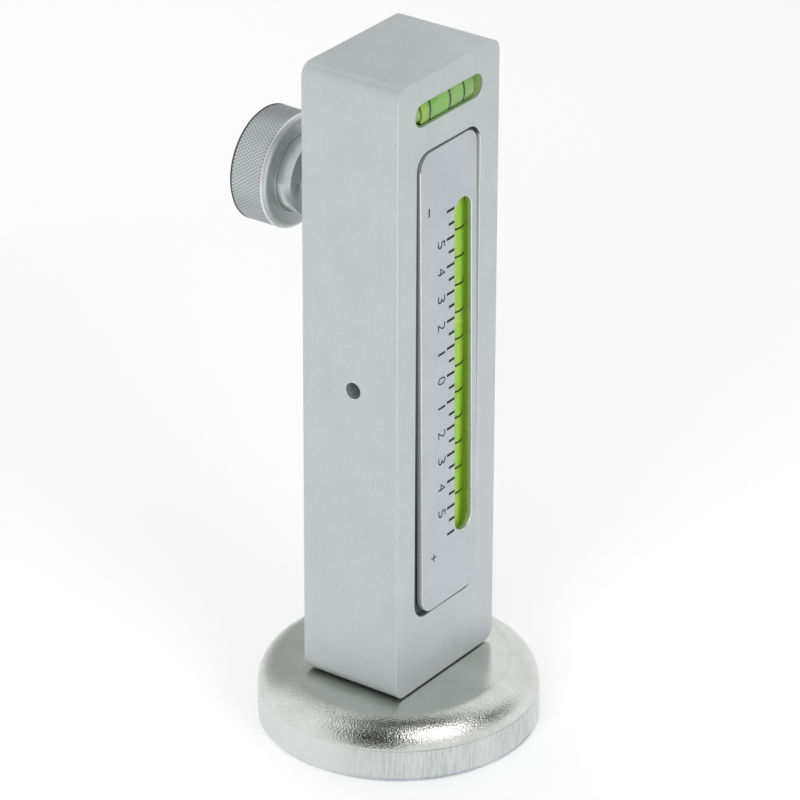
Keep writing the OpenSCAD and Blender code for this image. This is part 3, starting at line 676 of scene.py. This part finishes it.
signs = numberSigns(plateShape["below"], (plateShape["numberTop"] + plateShape["numberFoot"]) / 2)
signs += [("-", 32.7, 1.5, 0.32, -5.3), ("+", -33.7, 1.5, 1.5, -4.2)]
inkY = plateShape["frontY"] - plateShape["proud"]
inkPlace = plateFrame @ Matrix.Translation((-plateShape["shift"], inkY, 0))
bm = bmesh.new()
addSigns(bm, signs, inkPlace)
addBars(bm, plateShape["degrees"], inkPlace)
makePiece("camberMarks", bm, "block", [inkEnamel], outward=False)
print("camber scale made")


# ---- vials: each is drawn upright about the origin, its bubble to -Y, then placed ----

def glassRod(length, radius, soft=0.35):         # a clear tube filled by its core
    bm = bmesh.new()
    corner = arcPoints(radius - soft, length / 2 - soft, soft, 0, 90, 5)
    half = [(0, 0, length / 2)] + [(r, 0, z) for r, z in reversed(corner)]
    spinRound(bm, half + [(r, y, -z) for r, y, z in reversed(half)], steps=64)
    return bm


def vialCore(length, radius, belly, soft=0.6):   # fuller in the middle than at the ends
    bm = bmesh.new()
    half = length / 2
    points = [(0, 0, -half)]
    for i in range(41):
        z = -half + length * i / 40
        cut = soft - math.sqrt(max(0, soft ** 2 - max(0, soft - (half - abs(z))) ** 2))
        points.append((radius - belly * (z / half) ** 2 - cut, 0, z))
    points.append((0, 0, half))
    spinRound(bm, points, steps=64)
    return bm


def bubbleForm(length, wide, bore, sunk, z):     # lies against the wall of its bore
    bm = bmesh.new()
    bmesh.ops.create_uvsphere(bm, u_segments=40, v_segments=28, radius=1)
    for v in bm.verts:
        boxy = Vector([math.copysign(abs(c) ** 0.8, c) for c in v.co])
        x, y = boxy.x * wide / 2, boxy.y * wide / 2 - sunk
        reach = math.hypot(x, y)
        fit = min(1, bore / reach) if reach else 1
        v.co = Vector((x * fit, y * fit, boxy.z * length / 2 + z))
    return bm


def ringBands(places, radius, width=0.32, thick=0.05, proud=0.02):
    bm = bmesh.new()
    for z in places:
        low, high, inner, outer = z - width / 2, z + width / 2, radius - thick, radius + proud
        spinRound(bm, [(inner, 0, low), (outer, 0, low), (outer, 0, high), (inner, 0, high), (inner, 0, low)],
                  steps=64)
    return bm


def windowSection(halfTall, face, back, curve, corner=0.15):     # a shallow front over a round back
    wide = halfTall - corner
    across = [wide * i / 10 for i in range(-10, 11)]
    points = [(x, face + curve - math.sqrt(curve ** 2 - x ** 2)) for x in across]
    side = points[-1][1] + corner
    points += arcPoints(wide, side, corner, -67, 0, 3)
    points += arcPoints(0, back - halfTall, halfTall, 0, 180, 24)
    points += arcPoints(-wide, side, corner, 180, 247, 3)
    return points


def barForms(section, spans, soft):  # the section drawn out along Z over each span, its ends rounded
    bm = bmesh.new()
    for low, high in spans:
        ends = bm.faces.new([bm.verts.new((x, y, low)) for x, y in section])
        made = bmesh.ops.extrude_face_region(bm, geom=[ends])["geom"]
        top = [v for v in made if isinstance(v, bmesh.types.BMVert)]
        bmesh.ops.translate(bm, vec=(0, 0, high - low), verts=top)
        rims = [e for e in bm.edges if liesAt(e, 2, low) or liesAt(e, 2, high)]
        bmesh.ops.bevel(bm, geom=rims, offset=soft, offset_type="OFFSET", segments=3, profile=0.5,
                        affect="EDGES", material=-1, clamp_overlap=True)
    return bm


camberVial = dict(place=Matrix.Translation((5.3, -5.25, 69.45)), length=74, radius=3.5, core=67, bore=2.57,
                  belly=0.5, bubble=(4.0, 4.0, 2.62, 0.9, 8.755),
                  rings=[5.07 * i - 0.3 + 0.0208 * i * i for i in range(-5, 6)])
levelVial = dict(place=Matrix.Translation((0, -7.8, 120.55)) @ Matrix.Rotation(math.radians(90), 4, "Y"),
                 halfTall=2.08, face=-2.02, back=2.0, curve=4.6, half=7.5, core=(1.8, -1.72, 1.6, 4.2),
                 liquid=6.0, cap=1.9, ringOut=0.02, ringWide=0.3, rings=(-5.2, 0.5, 4.55),
                 bubble=(4.2, 2.2, 1.46, 0.45, 2.6))
casterVial = dict(place=Matrix.Translation((-4.6, 4.75, 60)) @ Matrix.Rotation(math.pi, 4, "Z"), length=60,
                  radius=2.5, core=54, bore=1.77, belly=0.3, bubble=(3.8, 2.7, 1.82, 0.55, 0.0),
                  rings=[plateShape["pitch"] * i for i in range(-5, 6)])


def addPart(vial, name, form, body, material, replaces=()):
    makePiece(name, placed(form, vial["place"]), body, [material], replaces)


def addRoundVial(vial, prefix, body, bubble):
    rod, core = glassRod(vial["length"], vial["radius"]), vialCore(vial["core"], vial["bore"], vial["belly"])
    addPart(vial, prefix + "Tube", rod, body, clearTube, [prefix + "_vial"])
    addPart(vial, prefix + "Spirit", core, body, greenSpirit, [prefix + "_liquid"])
    addPart(vial, prefix + "Bubble", bubbleForm(*vial["bubble"]), prefix + "_gas", bubble,
            [prefix + "_bubble"])
    addPart(vial, prefix + "Rings", ringBands(vial["rings"], vial["radius"]), body, inkEnamel)


def addLevelVial(vial):
    half, liquid, out, ringHalf = vial["half"], vial["liquid"], vial["ringOut"], vial["ringWide"] / 2
    core = windowSection(*vial["core"])
    tube = windowSection(vial["halfTall"], vial["face"], vial["back"], vial["curve"])
    ring = windowSection(vial["halfTall"] + out, vial["face"] - out, vial["back"], vial["curve"])
    tubeForm, coreForm = barForms(tube, [(-half, half)], 0.2), barForms(core, [(-liquid, liquid)], 0.02)
    addPart(vial, "levelTube", tubeForm, "block", levelTubeClear, ["level_vial"])
    addPart(vial, "levelSpirit", coreForm, "block", paleSpirit, ["level_liquid"])
    addPart(vial, "levelBubble", bubbleForm(*vial["bubble"]), "level_gas", levelGas,
            ["level_bubble"])
    plugs = barForms(core, [(-half, -liquid), (liquid, half)], 0.02)
    for side in (-1, 1):             # a round cap stands on each plug
        for v in bmesh.ops.create_uvsphere(plugs, u_segments=40, v_segments=20, radius=vial["cap"])["verts"]:
            v.co.z = side * (half + max(0.0, side * v.co.z))
    addPart(vial, "levelPlugs", plugs, "block", paleCap, ["level_plugs"])
    bands = barForms(ring, [(z - ringHalf, z + ringHalf) for z in vial["rings"]], 0.01)
    addPart(vial, "levelRings", bands, "block", greenInk)


addRoundVial(camberVial, "camber", "block", camberGas)
addLevelVial(levelVial)
addRoundVial(casterVial, "caster", "rocker", casterGas)
print("vials made")


# ---- caster rocker, its plate and numbers ----

rockerShape = dict(soft=0.15, faceY=7.3, plateY=8.3, plateZ=60, halfWide=7.7, degrees=5, numberMid=-1.65,
                   markShift=0.35)

bm = nodeCopy("caster_rocker")
softenEdges(bm, lambda mid, edge: liesAt(edge, 1, rockerShape["faceY"]), rockerShape["soft"])
makePiece("casterRocker", bm, "rocker", [rockerMetal], ["caster_rocker"], smoothTo=0, outward=False)

casterFrame = Matrix.Translation((0, 0, rockerShape["plateZ"])) @ Matrix.Rotation(math.pi, 4, "Z")
bm = placed(nodeCopy("caster_plate"), casterFrame.inverted())
markPlateFaces(bm, -rockerShape["plateY"], rockerShape["halfWide"])
softenEdges(bm, plateEdges(-rockerShape["plateY"]), plateShape["soft"])
makePiece("casterPlate", placed(bm, casterFrame), "rocker",
          [plateMetal, inkEnamel, plateMetal, rockerMetal], ["caster_plate"], smoothTo=0, outward=False)

inkPlace = casterFrame @ Matrix.Translation((0, -rockerShape["plateY"] - plateShape["proud"], 0))
bm = bmesh.new()
addSigns(bm, numberSigns(0, rockerShape["numberMid"]), inkPlace)
addBars(bm, rockerShape["degrees"], inkPlace @ Matrix.Translation((rockerShape["markShift"], 0, 0)))
makePiece("casterMarks", bm, "rocker", [inkEnamel], outward=False)
print("rocker made")


# ---- knob, screw and spring, about the screw's line ----

knobShape = dict(radius=10.25, fromY=21.6, toY=27.85, columns=192, rows=14, depth=0.17, beadRadius=7.2,
                 beadWire=0.17, beadY=20.55)


def aboutScrew(vert):                # the vertex's distance from the screw's line
    return math.hypot(vert.co.x - screwX, vert.co.z - screwZ)


def addKnurl(bm):                    # high and low points in turn take the place of the plain rim
    rim = [f for f in bm.faces if all(abs(aboutScrew(v) - knobShape["radius"]) < 0.03 for v in f.verts)
           and max(v.co.y for v in f.verts) - min(v.co.y for v in f.verts) > 3]
    bmesh.ops.delete(bm, geom=rim, context="FACES_ONLY")
    columns, rows = knobShape["columns"], knobShape["rows"]
    skin = bmesh.ops.create_grid(bm, x_segments=columns, y_segments=rows, size=0.5)["verts"]
    step = (knobShape["toY"] - knobShape["fromY"]) / rows
    for v in skin:
        column, row = round((v.co.x + 0.5) * columns), round((v.co.y + 0.5) * rows)
        low = knobShape["depth"] if row in (0, rows) or (column + row) % 2 else 0
        turn, radius = 2 * math.pi * column / columns, knobShape["radius"] - low
        v.co = Vector((screwX + radius * math.sin(turn), knobShape["fromY"] + step * row,
                       screwZ + radius * math.cos(turn)))
    bmesh.ops.remove_doubles(bm, verts=skin, dist=0.001)


bm = nodeCopy("adjusting_knob")
addKnurl(bm)
inner, outer = knobShape["radius"] - knobShape["depth"] - 0.02, knobShape["radius"] + 0.02
knurl = [f for f in bm.faces if len(f.verts) == 4 and all(inner < aboutScrew(v) < outer for v in f.verts)]
for face in knurl:
    a, b, c, d = [aboutScrew(v) for v in face.verts]
    first, other = (1, 3) if a + c > b + d else (0, 2)       # folded along its two low corners
    bmesh.utils.face_split(face, face.verts[first], face.verts[other])
makePiece("knurledKnob", bm, "knob", [knobMetal], ["adjusting_knob"], smoothTo=12)

bead = arcPoints(knobShape["beadRadius"], knobShape["beadY"], knobShape["beadWire"], 0, 360, 12)
bm = bmesh.new()
spinRound(bm, [(screwX + x, y, screwZ) for x, y in bead], screwAxis, screwLine)
makePiece("bossBead", bm, "knob", [knobMetal])

threadShape = dict(outer=2.0, root=1.62, pitch=0.7, fromY=-6.4, toY=24.2, tipY=-6.92, tipRadius=1.2,
                   tipLong=0.5, endY=24.98, steps=24)


def addThread(bm, shape):            # one groove's profile, wound up the screw
    root, outer, pitch = shape["root"], shape["outer"], shape["pitch"]
    groove = [(root, 0), (root, 0.1), (outer, 0.42), (outer, 0.6), (root, 0.92), (root, 1)]      # in pitches
    turns = int((shape["toY"] - shape["fromY"]) / pitch)
    line = drawLine(bm, [(screwX + x, shape["fromY"] + part * pitch, screwZ) for x, part in groove])
    bmesh.ops.spin(bm, geom=line, cent=screwLine, axis=screwAxis, dvec=(0, pitch / shape["steps"], 0),
                   angle=2 * math.pi * turns, steps=turns * shape["steps"])
    tipY, endY = shape["tipY"], shape["endY"]
    core = [(0, tipY), (shape["tipRadius"], tipY), (root, tipY + shape["tipLong"]), (root, endY), (0, endY)]
    spinRound(bm, [(screwX + x, y, screwZ) for x, y in core], screwAxis, screwLine, 48)


bm = bmesh.new()
addThread(bm, threadShape)
makePiece("adjustingScrew", bm, "knob", [pinSteel], ["adjusting_screw"])

springShape = dict(mean=2.95, wire=0.42, fromY=-1.15, toY=3.94, turns=4.5, steps=28)
bm = bmesh.new()
bmesh.ops.create_circle(bm, cap_ends=True, segments=12, radius=springShape["wire"])
startY = springShape["fromY"] + springShape["wire"]
placed(bm, Matrix.Translation((screwX + springShape["mean"], startY, screwZ)))
count = int(springShape["turns"] * springShape["steps"])
rise = (springShape["toY"] - springShape["fromY"] - 2 * springShape["wire"]) / count
bmesh.ops.spin(bm, geom=bm.verts[:] + bm.edges[:] + bm.faces[:], cent=screwLine, axis=screwAxis,
               dvec=(0, rise, 0), angle=2 * math.pi * springShape["turns"], steps=count)
spring = makePiece("returnCoil", bm, "block", [springWire], ["return_spring"])
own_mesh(spring)
print("knob, screw and spring made")


# ---- magnet base ----

cupShape = dict(radius=25, height=11.4, bend=5.25, bevel=0.4, wall=3, cavity=7.4, hole=3.05, streakFoot=1.0)

radius, height, bend, bevel = [cupShape[key] for key in ("radius", "height", "bend", "bevel")]
hole, cavity, inner = cupShape["hole"], cupShape["cavity"], radius - cupShape["wall"]
outline = [(hole, cavity), (inner, cavity), (inner, 0), (radius - bevel, 0), (radius, bevel),
           (radius, cupShape["streakFoot"])]
outline += arcPoints(radius - bend, height - bend, bend, 0, 90, 20) + [(hole, height), (hole, cavity)]
bm = bmesh.new()
spinRound(bm, [(x, 0, z) for x, z in outline], steps=192)
makePiece("magnetCup", bm, "block", [platedCup], ["magnet_cup"], smoothTo=25)

nodeFinish = {"camber_plugs": greenPlug, "caster_plugs": greenPlug, "pivot_pin": pivotSteel,
              "knob_grub_screw": blackSteel, "thrust_washer": brassMetal, "base_washer": fibreWasher,
              "ring_magnet": groundFerrite, "magnet_potting": castPotting, "stud_pole": poleMetal}
for name, material in nodeFinish.items():
    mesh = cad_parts[name].data
    mesh.materials.clear()
    mesh.materials.append(material)
    for face in mesh.polygons:
        face.material_index = 0
print("base made, CAD nodes finished")


# ---- floor, light and camera ----

lightShape = dict(ambient=0.46, floor=0.82, floorLift=0.3, aim=(0, 0, 0.06))     # places in metres from here


def seenRays(tree):      # 1 for what is seen, mirrored or seen through plastic, 0 for light on a surface
    path = tree.nodes.new("ShaderNodeLightPath")
    mirrored = math2(tree, "MAXIMUM", path.outputs["Is Camera Ray"], path.outputs["Is Glossy Ray"])
    return math2(tree, "MAXIMUM", mirrored, path.outputs["Is Transmission Ray"])


bm = bmesh.new()
bmesh.ops.create_grid(bm, x_segments=1, y_segments=1, size=3)
material, tree, shader = startMaterial("paleFloor", Roughness=0.7, Emission_Color=(1, 1, 1, 1),
                                       Base_Color=[lightShape["floor"]] * 3 + [1])
setSocket(tree, shader, "Emission Strength", times(tree, seenRays(tree), lightShape["floorLift"]))
floor = newObject("floor", bm, [material])
floor.location.z = -0.00004

world = bpy.data.worlds.new("paleRoom")
bpy.context.scene.world = world
world.use_nodes = True
tree = world.node_tree
sky = tree.nodes["Background"]
sky.inputs["Color"].default_value = (1, 1, 1, 1)
setSocket(tree, sky, "Strength", spread(tree, seenRays(tree), 0.0, 1.0, lightShape["ambient"], 1.0))

# place, size, power and whether metal mirrors it
lamps = {"leftSoftbox": ((-0.75, -0.25, 0.45), 0.5, 3.0, False),
         "topSoftbox": ((0.15, 0.1, 0.9), 0.6, 0.9, False),
         "frontSoftbox": ((-0.3, -0.74, 0.46), 0.4, 2.0, True),
         "backSoftbox": ((0.3, 0.8, 0.5), 0.5, 1.3, False)}
for name, (place, size, power, mirrored) in lamps.items():
    lamp = bpy.data.lights.new(name, "AREA")
    lamp.size = size
    lamp.energy = power
    holder = bpy.data.objects.new(name, lamp)
    holder.location = place
    holder.rotation_euler = (Vector(lightShape["aim"]) - Vector(place)).to_track_quat("-Z", "Y").to_euler()
    holder.visible_glossy = mirrored
    bpy.context.scene.collection.objects.link(holder)

# cards that only metal mirrors: azimuth from the front, middle height, distance, width, height, grey, tilt
# and taper, by which a card narrows at its far end
cards = {"leftCard": (-71, 0.36, 0.45, 0.42, 0.7, 0.04, 90, 1),
         "leftFloorCard": (-71, 0.0004, 0.0865, 0.12, 0.087, 0.04, 0, 0.2),
         "upperCard": (-50, 0.44, 0.094, 0.5, 0.24, 0.05, 12, 1),
         "rightCard": (28, 0.27, 0.5, 0.24, 0.46, 0.14, 90, 1),
         "backCard": (154, 0.17, 0.22, 0.26, 0.33, 0.5, 90, 1)}
for name, (azimuth, height, distance, wide, tall, grey, tilt, taper) in cards.items():
    material, tree, shader = startMaterial(name, Roughness=1.0, Base_Color=(grey, grey, grey, 1))
    bm = bmesh.new()
    bmesh.ops.create_grid(bm, x_segments=1, y_segments=1, size=0.5)
    for v in bm.verts:
        v.co.x *= taper if v.co.y > 0 else 1
    placed(bm, Matrix.Rotation(math.radians(azimuth), 4, "Z") @ Matrix.Translation((0, -distance, height))
           @ Matrix.Rotation(math.radians(tilt), 4, "X") @ Matrix.Diagonal((wide, tall, 1, 1)))
    card = newObject(name, bm, [material])
    card.visible_camera = card.visible_diffuse = card.visible_shadow = card.visible_transmission = False

cameraShape = dict(azimuth=-54.4156, elevation=26.9191, roll=0.004, aim=(0.16, 0.056, 61.71), distance=860.05,
                   focal=4983.4, frame=800, sensor=36)       # focal length and frame in pixels
turn, rise = math.radians(cameraShape["azimuth"]), math.radians(cameraShape["elevation"])
back = Vector((math.sin(turn) * math.cos(rise), -math.cos(turn) * math.cos(rise), math.sin(rise)))
right = Vector((math.cos(turn), math.sin(turn), 0))
up = back.cross(right)
cosRoll, sinRoll = math.cos(cameraShape["roll"]), math.sin(cameraShape["roll"])
rolledRight, rolledUp = cosRoll * right + sinRoll * up, cosRoll * up - sinRoll * right
lens = bpy.data.cameras.new("gaugeCamera")
lens.sensor_width = cameraShape["sensor"]
lens.lens = cameraShape["focal"] / cameraShape["frame"] * cameraShape["sensor"]
lens.clip_start, lens.clip_end = 0.05, 20
camera = bpy.data.objects.new("gaugeCamera", lens)
eye = (Vector(cameraShape["aim"]) + cameraShape["distance"] * back) * mm
camera.matrix_world = Matrix.Translation(eye) @ Matrix((rolledRight, rolledUp, back)).transposed().to_4x4()
bpy.context.scene.collection.objects.link(camera)
bpy.context.scene.camera = camera
bpy.context.scene.view_settings.view_transform = "Standard"

print("stage made")
